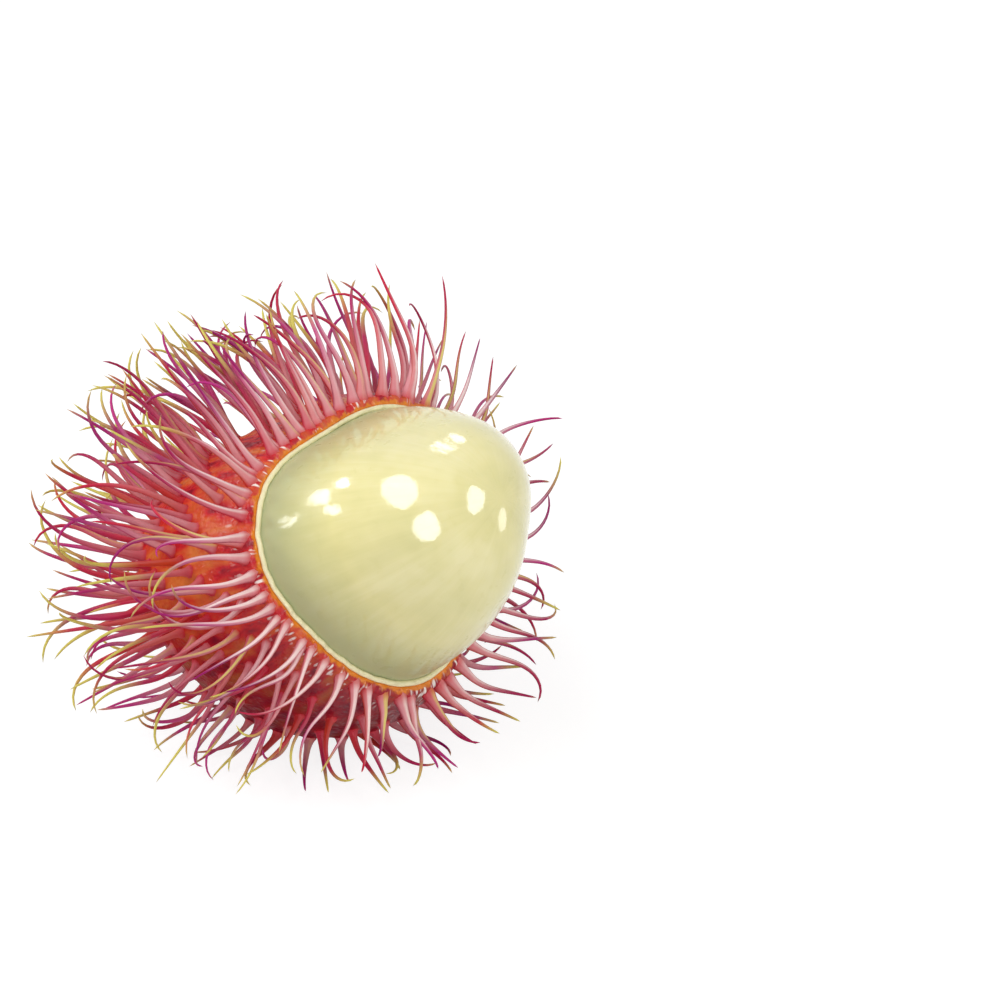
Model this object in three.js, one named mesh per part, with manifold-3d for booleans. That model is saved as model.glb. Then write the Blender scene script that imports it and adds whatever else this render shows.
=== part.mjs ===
// A rambutan opened for eating: the stem half of the peel, a cup covered in soft spines, and the whole
// flesh still standing in it. The spines grow out of the peel, so peel and spines are one solid.
// Millimetres, +Z up. The origin is the middle of the small flat spot that the peel rests on. The fruit's
// long axis lies in the XZ plane, and the open side faces +X and up.

import * as THREE from "three";
import { mergeVertices } from "three/addons/utils/BufferGeometryUtils.js";
import Module from "manifold-3d";

const wasm = await Module();
wasm.setup();

// The peel: an egg-shaped shell, cut across a little forward of its middle.
const PEEL_HALF_WIDTH = 19.8;
const PEEL_STEM_LENGTH = 25.2; // from the middle back to the stem end
const PEEL_WALL = 2.8;
const RIM_HEIGHT = 5.2; // from the middle forward to the cut
const RIM_WALL = 1.1; // what is left of the wall at the cut edge
const RIM_THINNING = 8; // how far back from the cut the wall starts to thin
const RIM_ROUNDING = 0.6;
const RIM_LIP = 0.25; // the flat left on the cut edge, next to the flesh
const RIM_WAVE = 0.3; // how far the hand-cut edge wanders
const RIM_WAVE_REACH = 2.4; // how far back from the cut the skin follows it

// The flesh: an egg that fills the cup and stands well out of it.
const FLESH_GAP = 0.3; // all round, between flesh and peel
const FLESH_TIP_LENGTH = 28.2; // from the middle forward to the tip

// Both: the cross-section is a soft three-sided oval, and the fruit narrows towards its tip.
const LOBE = 0.078;
const LOBE_ANGLE = THREE.MathUtils.degToRad(65);
const OVAL = 0.062;
const OVAL_ANGLE = THREE.MathUtils.degToRad(74);
const TAPER = 0.126;
const FULLNESS = 2.6; // 2 is an ellipse, and more is fuller

// The scar where the fruit broke from its stalk.
const SCAR_RADIUS = 2.2;
const SCAR_HEIGHT = 0.7;

// How it lies.
const AXIS_RISE = THREE.MathUtils.degToRad(34.6);
const FLAT_DEPTH = 0.9; // how much of the underside the fruit's weight presses flat

// Where the spines grow: one row along the cut edge, and a spiral over the rest of the peel.
const RIM_SPINES = 50;
const RIM_SPINE_SETBACK = 0.7;
const RIM_SPINE_JITTER = 0.5; // share of the row's spacing
const SPIRAL_SPINES = 232;
const SPIRAL_START = 2.4; // behind the rim row
const SCAR_CLEARANCE = 4.2; // no spine grows this near the fruit's axis at the stem end
const FLAT_SPOT_CLEARANCE = 7.5; // no spine grows this near the flat spot's middle

// A spine's size. Those that grow downward are stunted: these are the upward parts of their way out of
// the skin at which the stunting is full, and at which it ends.
const SPINE_LENGTH = 16;
const SPINE_LENGTH_SPREAD = 2.5;
const STUNTED_SHARE = 0.55;
const STUNTED_RISE = -0.9;
const FREE_RISE = 0;
const SPINE_ROOT_RADIUS = 0.95;
const SPINE_RADIUS = 0.6;
const SPINE_TIP_RADIUS = 0.16;
const SPINE_ROOT_FLARE = 0.12; // share of the length
const SPINE_ROOT_DEPTH = 0.9;

// The way a spine bends. It starts square to the skin and leans to a side by chance, then sweeps back to
// the stem and up, or away from the resting spot if it is stunted. The numbers are shares of a direction or
// of the length.
const ROOT_LEAN = 0.3;
const FREE_OUT = 0.75;
const FREE_BACK = 0.6;
const FREE_LIFT = 0.4;
const STUNTED_OUT = 0.3;
const STUNTED_ASIDE = 0.9;
const SWEEP_LEAN = 0.4;
const SWEEP_START = 0.05;
const SWEEP_END = 0.65;
const CURL = THREE.MathUtils.degToRad(120); // the most that a tip hooks over
const CURL_START = 0.4;
const FLOOR_GAP = 0.12;
const FLOOR_ZONE = 5; // within this height a falling spine bends over to lie along the surface
const FLOOR_PUSH = 0.4;
const BODY_CLEARANCE = 0.05;

// Mesh fineness
const AROUND = 36;
const SHELL_RINGS = 14;
const LINING_RINGS = 11;
const RIM_RINGS = 2;
const FLESH_RINGS = 28;
const SCAR_SIDES = 12;
const SPINE_SIDES = 3;
const SPINE_SEGMENTS = 3;
const SPINE_STEPS = 12;
const AREA_BANDS = 400;

const GOLDEN_ANGLE = Math.PI * (3 - Math.sqrt(5));
const UP = new THREE.Vector3(0, 0, 1);

// The fruit's own axes: forward along the axis to the open side, up square to it, and +Y across.
const forward = new THREE.Vector3(Math.cos(AXIS_RISE), 0, Math.sin(AXIS_RISE));
const upward = new THREE.Vector3(-Math.sin(AXIS_RISE), 0, Math.cos(AXIS_RISE));
const across = new THREE.Vector3(0, 1, 0);

// A repeatable stream of numbers from 0 to 1.
function numberStream(seed) {
  let state = seed;
  return () => {
    state = (state * 1664525 + 1013904223) % 4294967296;
    return state / 4294967296;
  };
}

function lobes(angle) {
  return 1 + LOBE * Math.cos(3 * (angle - LOBE_ANGLE)) + OVAL * Math.cos(2 * (angle - OVAL_ANGLE));
}

// Distance from the fruit's axis to an egg's surface, before the lobes, at `along` the axis.
function eggRadius(along, egg) {
  const share = along < 0 ? along / egg.stemLength : along / egg.tipLength;
  const round = Math.sqrt(Math.max(0, 1 - Math.abs(share) ** FULLNESS));
  return egg.halfWidth * round * (1 - TAPER * share);
}

// An egg inset from the peel's outer surface.
function insetEgg(inset) {
  return {
    halfWidth: PEEL_HALF_WIDTH - inset,
    stemLength: PEEL_STEM_LENGTH - inset,
    tipLength: FLESH_TIP_LENGTH + PEEL_WALL + FLESH_GAP - inset,
  };
}

const outside = insetEgg(0);
const lining = insetEgg(PEEL_WALL);
const flesh = insetEgg(PEEL_WALL + FLESH_GAP);

// The radius of the egg less what the wall has thinned by, near the cut.
function thinnedRadius(along) {
  const share = Math.max(0, (along - RIM_HEIGHT + RIM_THINNING) / RIM_THINNING);
  return eggRadius(along, outside) - (PEEL_WALL - RIM_WALL) * share ** 2;
}

// The radius of the peel's skin, before the lobes. It thins towards the cut, then turns in to the lip.
function skinRadius(along) {
  const turn = (along - RIM_HEIGHT + RIM_ROUNDING) / RIM_ROUNDING;
  if (turn <= 0) return thinnedRadius(along);
  const lip = eggRadius(RIM_HEIGHT, lining) + RIM_LIP;
  const shoulder = thinnedRadius(RIM_HEIGHT - RIM_ROUNDING);
  return THREE.MathUtils.lerp(lip, shoulder, Math.sqrt(Math.max(0, 1 - turn * turn)));
}

// How far the cut edge stands forward of its mean at an angle round the fruit.
function rimWave(angle) {
  return RIM_WAVE * (0.6 * Math.sin(3 * angle + 1) + 0.4 * Math.sin(7 * angle + 2));
}

// Places (radius, along, angle), the radius before the lobes, in the fruit's frame.
function fruitPoint(radius, along, angle) {
  const lobed = radius * lobes(angle);
  return new THREE.Vector3()
    .addScaledVector(forward, along)
    .addScaledVector(upward, lobed * Math.cos(angle))
    .addScaledVector(across, lobed * Math.sin(angle));
}

// Where the fruit's middle stands when its lowest point is over the origin and pressed flat.
function fruitCentre() {
  const lowest = new THREE.Vector3(0, 0, Infinity);
  const samples = 500;
  for (let i = 0; i <= samples; i++) {
    const along = THREE.MathUtils.lerp(-PEEL_STEM_LENGTH, RIM_HEIGHT, i / samples);
    for (let j = 0; j < samples; j++) {
      const point = fruitPoint(skinRadius(along), along, (2 * Math.PI * j) / samples);
      if (point.z < lowest.z) lowest.copy(point);
    }
  }
  return new THREE.Vector3(-lowest.x, -lowest.y, -lowest.z - FLAT_DEPTH);
}

const centre = fruitCentre();

// Profile points (radius, along) of an egg from its stem end to `end`.
function eggProfile(egg, end, rings) {
  const last = Math.acos(-end / (end > 0 ? egg.tipLength : egg.stemLength));
  return Array.from({ length: rings + 1 }, (_, i) => {
    const turn = (last * i) / rings;
    const along = -Math.cos(turn) * (turn < Math.PI / 2 ? egg.stemLength : egg.tipLength);
    const onAxis = i === 0 || (i === rings && end >= egg.tipLength);
    return new THREE.Vector2(onAxis ? 0 : eggRadius(along, egg), along);
  });
}

// Spins a profile round the fruit's axis and gives it the lobes, the wavy edge and its place.
function spunSolid(profile, wavy) {
  const geometry = new THREE.LatheGeometry(profile, AROUND);
  const position = geometry.getAttribute("position");
  const point = new THREE.Vector3();
  for (let i = 0; i < position.count; i++) {
    point.fromBufferAttribute(position, i);
    const radius = Math.hypot(point.x, point.z);
    const angle = radius > 0 ? Math.atan2(point.z, point.x) : 0;
    const nearRim = THREE.MathUtils.smoothstep(point.y, RIM_HEIGHT - RIM_WAVE_REACH, RIM_HEIGHT);
    const along = point.y + (wavy ? nearRim * rimWave(angle) : 0);
    point.copy(fruitPoint(radius, along, angle)).add(centre);
    position.setXYZ(i, point.x, point.y, point.z);
  }
  return solidOf(geometry);
}

// The peel's shell: out along the skin, over the cut edge and back along the lining.
function peelShell() {
  const edge = Array.from({ length: RIM_RINGS }, (_, i) => {
    const along = RIM_HEIGHT - RIM_ROUNDING * (1 - Math.sin((Math.PI / 2) * ((i + 1) / RIM_RINGS)));
    return new THREE.Vector2(skinRadius(along), along);
  });
  const skin = eggProfile(outside, RIM_HEIGHT - RIM_ROUNDING, SHELL_RINGS).map(({ y }) => {
    return new THREE.Vector2(skinRadius(y), y);
  });
  const inside = eggProfile(lining, RIM_HEIGHT, LINING_RINGS).reverse();
  return spunSolid([...skin, ...edge, ...inside], true);
}

// The peel's skin at a place on it: the point, the way out, and the way back to the stem.
function skinAt(along, angle) {
  const step = 0.01;
  const place = (a, b) => fruitPoint(eggRadius(a, outside), a, b);
  const point = fruitPoint(skinRadius(along), along, angle);
  const back = place(along - step, angle).sub(place(along + step, angle)).normalize();
  const round = place(along, angle + step).sub(place(along, angle - step));
  const out = new THREE.Vector3().crossVectors(round, back).normalize();
  return { point: point.add(centre), out, back };
}

// Moves a point that has sunk into the fruit back out to its surface.
function keepOutOfFruit(point) {
  const offset = point.clone().sub(centre);
  const along = offset.dot(forward);
  const angle = Math.atan2(offset.dot(across), offset.dot(upward));
  const radial = offset.clone().addScaledVector(forward, -along).length();
  const share = along / (along < 0 ? outside.stemLength : outside.tipLength);
  const width = PEEL_HALF_WIDTH * (1 - TAPER * share) * lobes(angle);
  const depth = Math.sqrt(Math.abs(share) ** FULLNESS + (radial / width) ** 2);
  const least = 1 + BODY_CLEARANCE;
  if (depth < least) point.copy(centre).addScaledVector(offset, least / depth);
}

function spineRadius(share) {
  const flare = (SPINE_ROOT_RADIUS - SPINE_RADIUS) * Math.max(0, 1 - share / SPINE_ROOT_FLARE) ** 2;
  return flare + THREE.MathUtils.lerp(SPINE_RADIUS, SPINE_TIP_RADIUS, share);
}

// The line that a spine follows from inside the peel wall to its tip. It leaves square to the skin, sweeps
// back, curls at the tip, and turns aside to lie along the surface that the fruit rests on.
function spineLine(along, angle, draw) {
  const { point, out, back } = skinAt(along, angle);
  const side = new THREE.Vector3().crossVectors(out, back);
  const free = THREE.MathUtils.smoothstep(out.z, STUNTED_RISE, FREE_RISE);
  const grown = THREE.MathUtils.lerp(STUNTED_SHARE, 1, free);
  const length = grown * (SPINE_LENGTH + SPINE_LENGTH_SPREAD * (2 * draw() - 1));
  const rootLean = ROOT_LEAN * (2 * draw() - 1);
  const sweepLean = SWEEP_LEAN * (2 * draw() - 1);
  const curlTurn = 2 * Math.PI * draw();
  const curl = CURL * draw() ** 1.5;

  const aside = new THREE.Vector3(point.x, point.y, 0).normalize();
  const start = out.clone().addScaledVector(side, rootLean).normalize();
  const towardsScar = FREE_BACK * free * (eggRadius(along, outside) / PEEL_HALF_WIDTH);
  const sweep = new THREE.Vector3()
    .addScaledVector(out, THREE.MathUtils.lerp(STUNTED_OUT, FREE_OUT, free))
    .addScaledVector(back, towardsScar)
    .addScaledVector(UP, FREE_LIFT * free)
    .addScaledVector(aside, STUNTED_ASIDE * (1 - free))
    .addScaledVector(side, sweepLean)
    .normalize();
  const hook = new THREE.Vector3()
    .addScaledVector(side, Math.cos(curlTurn))
    .addScaledVector(UP, Math.sin(curlTurn));

  const line = [point.clone().addScaledVector(out, -SPINE_ROOT_DEPTH)];
  const at = point.clone();
  const step = length / (SPINE_STEPS - 1);
  line.push(at.clone());
  for (let i = 2; i <= SPINE_STEPS; i++) {
    const share = i / SPINE_STEPS;
    const swept = THREE.MathUtils.smoothstep(share, SWEEP_START, SWEEP_END);
    const direction = start.clone().lerp(sweep, swept).normalize();
    const hooked = hook.clone().addScaledVector(direction, -hook.dot(direction)).normalize();
    const bend = curl * (Math.max(0, share - CURL_START) / (1 - CURL_START)) ** 2;
    direction.multiplyScalar(Math.cos(bend)).addScaledVector(hooked, Math.sin(bend));
    const floor = spineRadius(share) + FLOOR_GAP;
    const height = THREE.MathUtils.clamp((at.z - floor) / FLOOR_ZONE, 0, 1);
    direction.addScaledVector(aside, FLOOR_PUSH * (1 - height));
    if (direction.z < 0) direction.z *= height;
    at.addScaledVector(direction.normalize(), step);
    keepOutOfFruit(at);
    at.z = Math.max(at.z, floor);
    line.push(at.clone());
  }
  return line;
}

// A tapering spine: a cone bent along its line.
function spine(line) {
  const geometry = new THREE.ConeGeometry(1, 1, SPINE_SIDES, SPINE_SEGMENTS);
  const knots = Array.from(
    { length: SPINE_SEGMENTS + 1 },
    (_, i) => line[(i * SPINE_STEPS) / SPINE_SEGMENTS],
  );
  const frames = [];
  const wide = across.clone().add(UP);
  knots.forEach((knot, i) => {
    const before = knots[Math.max(0, i - 1)];
    const after = knots[Math.min(SPINE_SEGMENTS, i + 1)];
    const run = after.clone().sub(before).normalize();
    wide.addScaledVector(run, -wide.dot(run)).normalize();
    frames.push({ knot, wide: wide.clone(), deep: new THREE.Vector3().crossVectors(run, wide) });
  });
  const position = geometry.getAttribute("position");
  for (let i = 0; i < position.count; i++) {
    const share = position.getY(i) + 0.5;
    const { knot, wide, deep } = frames[Math.round(share * SPINE_SEGMENTS)];
    const outFromLine = Math.hypot(position.getX(i), position.getZ(i)) > 0 ? spineRadius(share) : 0;
    const turn = Math.atan2(position.getX(i), position.getZ(i));
    const place = knot
      .clone()
      .addScaledVector(wide, outFromLine * Math.sin(turn))
      .addScaledVector(deep, -outFromLine * Math.cos(turn));
    position.setXYZ(i, place.x, place.y, place.z);
  }
  return solidOf(geometry);
}

// How far along the fruit the spiral's spines stand, each with the same area of peel round it.
function spiralAlongs() {
  const start = RIM_HEIGHT - RIM_SPINE_SETBACK - SPIRAL_START;
  const span = start + PEEL_STEM_LENGTH;
  const bands = Array.from({ length: AREA_BANDS + 1 }, (_, i) => {
    const along = span * (1 - Math.sin((Math.PI / 2) * (i / AREA_BANDS))) - PEEL_STEM_LENGTH;
    return { along, radius: eggRadius(along, outside), area: 0 };
  });
  for (let i = 1; i <= AREA_BANDS; i++) {
    const [last, band] = [bands[i - 1], bands[i]];
    const slant = Math.hypot(band.radius - last.radius, band.along - last.along);
    band.area = last.area + (band.radius + last.radius) * slant;
  }
  const share = bands[AREA_BANDS].area / SPIRAL_SPINES;
  const alongs = Array.from({ length: SPIRAL_SPINES }, (_, i) => {
    return bands.find((band) => band.area >= (i + 0.5) * share).along;
  });
  return alongs.filter((along) => eggRadius(along, outside) > SCAR_CLEARANCE);
}

// Where spines grow, as (along, angle) on the skin.
function spineRoots() {
  const roots = [];
  const rimDraw = numberStream(7);
  for (let i = 0; i < RIM_SPINES; i++) {
    const angle = (2 * Math.PI * (i + RIM_SPINE_JITTER * rimDraw())) / RIM_SPINES;
    roots.push([RIM_HEIGHT - RIM_SPINE_SETBACK + rimWave(angle), angle]);
  }
  spiralAlongs().forEach((along, i) => roots.push([along, i * GOLDEN_ANGLE]));
  return roots.filter(([along, angle]) => {
    const { point } = skinAt(along, angle);
    return point.length() > FLAT_SPOT_CLEARANCE;
  });
}

function spines() {
  const draw = numberStream(24);
  return spineRoots().map(([along, angle]) => spine(spineLine(along, angle, draw)));
}

// The stem scar, a low disc that stands on the stem end.
function stemScar() {
  const height = PEEL_WALL / 2 + SCAR_HEIGHT;
  const disc = new THREE.CylinderGeometry(SCAR_RADIUS, SCAR_RADIUS, height, SCAR_SIDES);
  disc.translate(0, height / 2 - PEEL_STEM_LENGTH - SCAR_HEIGHT, 0);
  const turn = new THREE.Matrix4().makeBasis(upward, forward, across).setPosition(centre);
  return solidOf(disc.applyMatrix4(turn));
}

// Everything under the surface that the fruit rests on.
function underSurface() {
  const size = 200;
  const box = new THREE.BoxGeometry(size, size, size);
  return solidOf(box.translate(0, 0, -size / 2));
}

// A closed geometry as a solid, for joining and cutting.
function solidOf(geometry) {
  const bare = new THREE.BufferGeometry();
  bare.setAttribute("position", geometry.getAttribute("position"));
  bare.setIndex(geometry.getIndex());
  const merged = mergeVertices(bare, 1e-4);
  const corners = [];
  const index = merged.getIndex().array;
  for (let i = 0; i < index.length; i += 3) {
    const [a, b, c] = [index[i], index[i + 1], index[i + 2]];
    if (a !== b && b !== c && c !== a) corners.push(a, b, c);
  }
  return new wasm.Manifold(
    new wasm.Mesh({
      numProp: 3,
      vertProperties: new Float32Array(merged.getAttribute("position").array),
      triVerts: new Uint32Array(corners),
    }),
  );
}

function meshOf(name, solid, material) {
  const { vertProperties, triVerts } = solid.getMesh();
  const geometry = new THREE.BufferGeometry();
  geometry.setAttribute("position", new THREE.BufferAttribute(vertProperties, 3));
  geometry.setIndex(new THREE.BufferAttribute(triVerts, 1));
  geometry.computeVertexNormals();
  const mesh = new THREE.Mesh(geometry, material);
  mesh.name = name;
  return mesh;
}

function peel() {
  const joined = [stemScar(), ...spines()].reduce((whole, piece) => whole.add(piece), peelShell());
  const skin = new THREE.MeshStandardMaterial({ color: 0xb02a35, roughness: 0.5, metalness: 0 });
  return meshOf("peel", joined.subtract(underSurface()), skin);
}

function fleshBall() {
  const profile = eggProfile(flesh, flesh.tipLength, FLESH_RINGS);
  const wet = new THREE.MeshStandardMaterial({ color: 0xe3dcab, roughness: 0.15, metalness: 0 });
  return meshOf("flesh", spunSolid(profile, false), wet);
}

const rambutan = new THREE.Group();
rambutan.name = "rambutan";
rambutan.add(peel(), fleshBall());

export default rambutan;
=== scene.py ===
# A rambutan opened for eating: a cup of spiny peel with the whole pale flesh standing in it.
# The fruit's shape follows the same rule as its solids, in millimetres, and the flesh's box places it.

import math

import bpy
import numpy as np
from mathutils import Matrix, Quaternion, Vector, noise


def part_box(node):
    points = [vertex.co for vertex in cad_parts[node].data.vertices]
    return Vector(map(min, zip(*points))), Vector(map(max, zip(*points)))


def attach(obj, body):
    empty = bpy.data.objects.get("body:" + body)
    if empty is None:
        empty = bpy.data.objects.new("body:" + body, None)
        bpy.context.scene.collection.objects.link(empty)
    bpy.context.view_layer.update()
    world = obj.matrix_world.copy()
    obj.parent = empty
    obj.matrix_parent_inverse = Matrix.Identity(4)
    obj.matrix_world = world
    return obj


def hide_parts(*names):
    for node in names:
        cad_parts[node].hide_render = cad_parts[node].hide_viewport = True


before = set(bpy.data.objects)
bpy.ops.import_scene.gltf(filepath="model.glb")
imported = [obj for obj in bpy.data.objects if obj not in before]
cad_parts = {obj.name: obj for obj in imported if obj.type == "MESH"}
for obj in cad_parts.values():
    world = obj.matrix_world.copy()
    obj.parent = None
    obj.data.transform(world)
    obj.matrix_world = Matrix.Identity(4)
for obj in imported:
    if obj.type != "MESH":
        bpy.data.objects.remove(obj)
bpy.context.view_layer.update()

MM = 0.001

# ---------------------------------------------------------------- the fruit's shape, in millimetres

PEEL_HALF_WIDTH = 19.8
PEEL_STEM_LENGTH = 25.2  # from the fruit's middle back to the stem end
PEEL_WALL = 2.8
RIM_HEIGHT = 5.2  # from the middle forward to the cut
RIM_WALL = 1.1  # what is left of the wall at the cut edge
RIM_THINNING = 8  # how far back from the cut the wall starts to thin
RIM_ROUNDING = 0.6
RIM_LIP = 0.25  # the flat left on the cut edge, next to the flesh
RIM_WAVE = 0.3  # how far the hand-cut edge wanders
RIM_WAVES = ((0.6, 3, 1), (0.4, 7, 2))  # each wave's share of that, how many go round, and its phase
RIM_WAVE_REACH = 2.4  # how far back from the cut the skin follows it
FLESH_INSET = 3.1  # how far the flesh lies under the peel's skin
FLESH_TIP_LENGTH = 28.2  # from the middle forward to the tip

# The cross-section is a soft three-sided oval, and the fruit narrows towards its tip.
LOBE = 0.078
LOBE_ANGLE = math.radians(65)
OVAL = 0.062
OVAL_ANGLE = math.radians(74)
TAPER = 0.126
FULLNESS = 2.6  # 2 is an ellipse, and more is fuller
AXIS_RISE = math.radians(34.6)  # how steeply the fruit's axis points up

FORWARD = Vector((math.cos(AXIS_RISE), 0, math.sin(AXIS_RISE)))
UPWARD = Vector((-math.sin(AXIS_RISE), 0, math.cos(AXIS_RISE)))
ACROSS = Vector((0, 1, 0))
UP = Vector((0, 0, 1))
GOLDEN_ANGLE = math.pi * (3 - math.sqrt(5))


def lobes(angle):
    three = LOBE * np.cos(3 * (angle - LOBE_ANGLE))
    return 1 + three + OVAL * np.cos(2 * (angle - OVAL_ANGLE))


def egg_radius(along, inset=0.0):
    """Distance from the fruit's axis to the egg that lies `inset` under the skin, before the lobes."""
    stem = PEEL_STEM_LENGTH - inset
    tip = FLESH_TIP_LENGTH + FLESH_INSET - inset
    share = np.where(along < 0, along / stem, along / tip)
    round_part = np.sqrt(np.maximum(0, 1 - np.abs(share) ** FULLNESS))
    return (PEEL_HALF_WIDTH - inset) * round_part * (1 - TAPER * share)


def thinned_radius(along):
    """The egg's radius, less what the wall has thinned by near the cut."""
    share = np.maximum(0, (along - RIM_HEIGHT + RIM_THINNING) / RIM_THINNING)
    return egg_radius(along) - (PEEL_WALL - RIM_WALL) * share**2


RIM_INNER = float(egg_radius(RIM_HEIGHT, PEEL_WALL))
RIM_SHOULDER = float(thinned_radius(RIM_HEIGHT - RIM_ROUNDING))


def skin_radius(along):
    """The radius of the peel's skin, which thins towards the cut and turns in to the lip."""
    turn = (along - RIM_HEIGHT + RIM_ROUNDING) / RIM_ROUNDING
    lip = RIM_INNER + RIM_LIP
    rounded = lip + (RIM_SHOULDER - lip) * np.sqrt(np.maximum(0, 1 - turn * turn))
    return np.where(turn <= 0, thinned_radius(along), rounded)


def ripple(angle, waves):
    """The sum of some waves round the fruit, each given by its height, how many go round, and its phase."""
    return sum(height * np.sin(count * angle + phase) for height, count, phase in waves)


def rim_wave(angle):
    return RIM_WAVE * ripple(angle, RIM_WAVES)


def fruit_points(radius, along, angle):
    """Points at (radius before the lobes, along, angle) round the fruit's middle, as an array of triples."""
    lobed = radius * lobes(angle)
    forward, upward, across = (np.array(axis) for axis in (FORWARD, UPWARD, ACROSS))
    ahead = np.broadcast_to(along, lobed.shape)[..., None] * forward
    above = (lobed * np.cos(angle))[..., None] * upward
    aside = (lobed * np.sin(angle))[..., None] * across
    return ahead + above + aside


def egg_alongs(turn, inset):
    """How far along the fruit an egg's places are, as `turn` goes from 0 at the stem to pi at the tip."""
    stem = PEEL_STEM_LENGTH - inset
    tip = FLESH_TIP_LENGTH + FLESH_INSET - inset
    return -np.cos(turn) * np.where(turn < math.pi / 2, stem, tip)


def fruit_centre():
    """Where the fruit's middle stands: the flesh's box, less the box of the same flesh about its middle."""
    half_turn = 180  # one place for each degree
    along = egg_alongs(np.linspace(0, math.pi, half_turn + 1), FLESH_INSET)[:, None]
    angle = np.linspace(0, 2 * math.pi, 2 * half_turn + 1)[None, :]
    points = fruit_points(egg_radius(along, FLESH_INSET), along, angle).reshape(-1, 3)
    low, high = (np.array(corner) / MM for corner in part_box("flesh"))
    return Vector((low + high) / 2 - (points.min(0) + points.max(0)) / 2)


CENTRE = fruit_centre()

# ---------------------------------------------------------------- meshes


def mesh_object(name, points_mm, faces, material, attributes=None):
    """A smooth mesh that rides with the part. Each attribute is one number, or triple, for each vertex."""
    mesh = bpy.data.meshes.new(name)
    mesh.from_pydata((np.asarray(points_mm) * MM).tolist(), [], faces)
    for key, values in (attributes or {}).items():
        values = np.asarray(values, dtype=np.float32)
        kind, field = ("FLOAT_VECTOR", "vector") if values.ndim == 2 else ("FLOAT", "value")
        mesh.attributes.new(key, kind, "POINT").data.foreach_set(field, values.ravel())
    mesh.polygons.foreach_set("use_smooth", [True] * len(mesh.polygons))
    mesh.materials.append(material)
    made = bpy.data.objects.new(name, mesh)
    bpy.context.scene.collection.objects.link(made)
    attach(made, "root")
    return made


def lathe_faces(rings, around):
    """Faces between rings of vertices, and a fan to one more vertex at the first end, then at the last.

    They point out if, on the outside, the vertices turn right-handed about the way from ring to ring.
    """
    faces = []
    for ring in range(rings - 1):
        for i in range(around):
            j = (i + 1) % around
            low, high = ring * around, (ring + 1) * around
            faces.append((low + i, low + j, high + j, high + i))
    first_end = rings * around
    last = (rings - 1) * around
    faces += [((i + 1) % around, i, first_end) for i in range(around)]
    faces += [(last + i, last + (i + 1) % around, first_end + 1) for i in range(around)]
    return faces


def fruit_faces(rings, around):
    """The same for rings that run forward on the outside, since the fruit's angles turn left-handed."""
    return [face[::-1] for face in lathe_faces(rings, around)]


# ---------------------------------------------------------------- spines

# Where the solid's spines grow: one row along the cut edge, and a spiral over the rest of the peel.
RIM_SPINES = 50
RIM_SPINE_SETBACK = 0.7
RIM_SPINE_JITTER = 0.5  # share of the row's spacing
SPIRAL_SPINES = 232
SPIRAL_START = 2.4  # behind the rim row
SCAR_CLEARANCE = 4.2  # no spine grows this near the fruit's axis at the stem end
FLAT_SPOT_CLEARANCE = 7.5  # no spine grows this near the flat spot's middle
AREA_BANDS = 400

# The size of the solid's spines, in millimetres. Those that grow downward are stunted.
SPINE_LENGTH = 16
SPINE_LENGTH_SPREAD = 2.5
STUNTED_SHARE = 0.55  # how much of its length a fully stunted spine keeps
STUNTED_RISE = -0.9  # the upward part of the way out of the skin at which the stunting is full
FREE_RISE = 0.0  # and at which it ends
SPINE_RADIUS = 0.6
SPINE_TIP_RADIUS = 0.16
SPINE_ROOT_DEPTH = 0.9  # how far under the skin a spine starts

# The way a spine bends. It starts square to the skin and leans to a side by chance, then sweeps back to the
# stem and up, or away from the resting spot if it is stunted. These are parts of its direction.
ROOT_LEAN = 0.3
FREE_OUT = 0.75
FREE_BACK = 0.6
FREE_LIFT = 0.4
STUNTED_OUT = 0.3
STUNTED_ASIDE = 0.9
SWEEP_LEAN = 0.4
FLOOR_PUSH = 0.4  # away from the resting spot, near the surface that the fruit rests on

# Where a spine sweeps and where its tip starts to curl, as shares of its steps.
SPINE_STEPS = 12
SWEEP_START = 0.05
SWEEP_END = 0.65
CURL_START = 0.4
CURL = math.radians(120)  # the most that a tip hooks over
CURL_RARITY = 1.5  # 1 makes every curl as likely, and more makes strong ones rarer

# How a spine keeps clear of the surface, in millimetres, and of the fruit.
FLOOR_GAP = 0.12
FLOOR_ZONE = 5  # within this height a falling spine bends over to lie along the surface
BODY_CLEARANCE = 0.05  # the gap to the fruit, as a share of the way out from its middle

# The rule of the streams of chance numbers, and what starts each one.
STREAM_FACTOR = 1664525
STREAM_STEP = 1013904223
STREAM_SIZE = 2**32
RIM_SEED = 7
SPINE_SEED = 24
BETWEEN_RIM_SEED = 31
BETWEEN_SPINE_SEED = 68


def number_stream(seed):
    """A repeatable stream of numbers from 0 to 1."""
    state = seed
    while True:
        state = (state * STREAM_FACTOR + STREAM_STEP) % STREAM_SIZE
        yield state / STREAM_SIZE


def clamp(value, low=0.0, high=1.0):
    return max(low, min(high, value))


def eased(share):
    """A share from 0 to 1 that starts and ends gently."""
    return share * share * (3 - 2 * share)


def smoothstep(value, low, high):
    return eased(clamp((value - low) / (high - low)))


def blend(a, b, share):
    return a + (b - a) * share


def either_way(draw):
    """The next number of a stream, from -1 to 1."""
    return 2 * next(draw) - 1


def place_on(radius, along, angle):
    return Vector(fruit_points(np.asarray(radius), np.asarray(along), np.asarray(angle)))


def on_axis(along):
    return place_on(0.0, along, 0.0)


def skin_at(along, angle):
    """A place on the skin: the point, the way out, and the way back to the stem."""
    step = 0.01  # millimetres along the fruit, and radians round it
    behind = place_on(egg_radius(along - step), along - step, angle)
    ahead = place_on(egg_radius(along + step), along + step, angle)
    before = place_on(egg_radius(along), along, angle - step)
    after = place_on(egg_radius(along), along, angle + step)
    back = (behind - ahead).normalized()
    out = (after - before).cross(back).normalized()
    return place_on(skin_radius(along), along, angle) + CENTRE, out, back


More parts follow.
